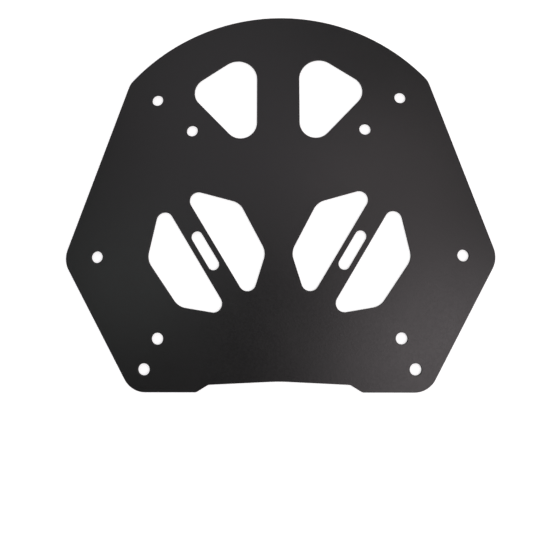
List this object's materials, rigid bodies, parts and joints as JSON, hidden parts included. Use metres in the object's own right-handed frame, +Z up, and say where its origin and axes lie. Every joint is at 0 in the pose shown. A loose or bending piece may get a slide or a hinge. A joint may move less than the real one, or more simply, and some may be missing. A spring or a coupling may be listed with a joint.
{
  "type": "top case mounting plate",
  "caption": "Flat black steel plate with a round end, slanted sides, windows, slots and bolt holes, for carrying a top case on a motorbike rack.",
  "frame": {"origin": "centre of the plate's outline box, on its underside", "axes": "+X across the plate, +Y towards its round end, +Z up out of the top face"},
  "size_m": [0.27, 0.2418, 0.002],
  "materials": {
    "black_coat": "satin black powder coat with a fine texture"
  },
  "bodies": {
    "root": {"mounting_plate": "black_coat"}
  },
  "joints": []
}
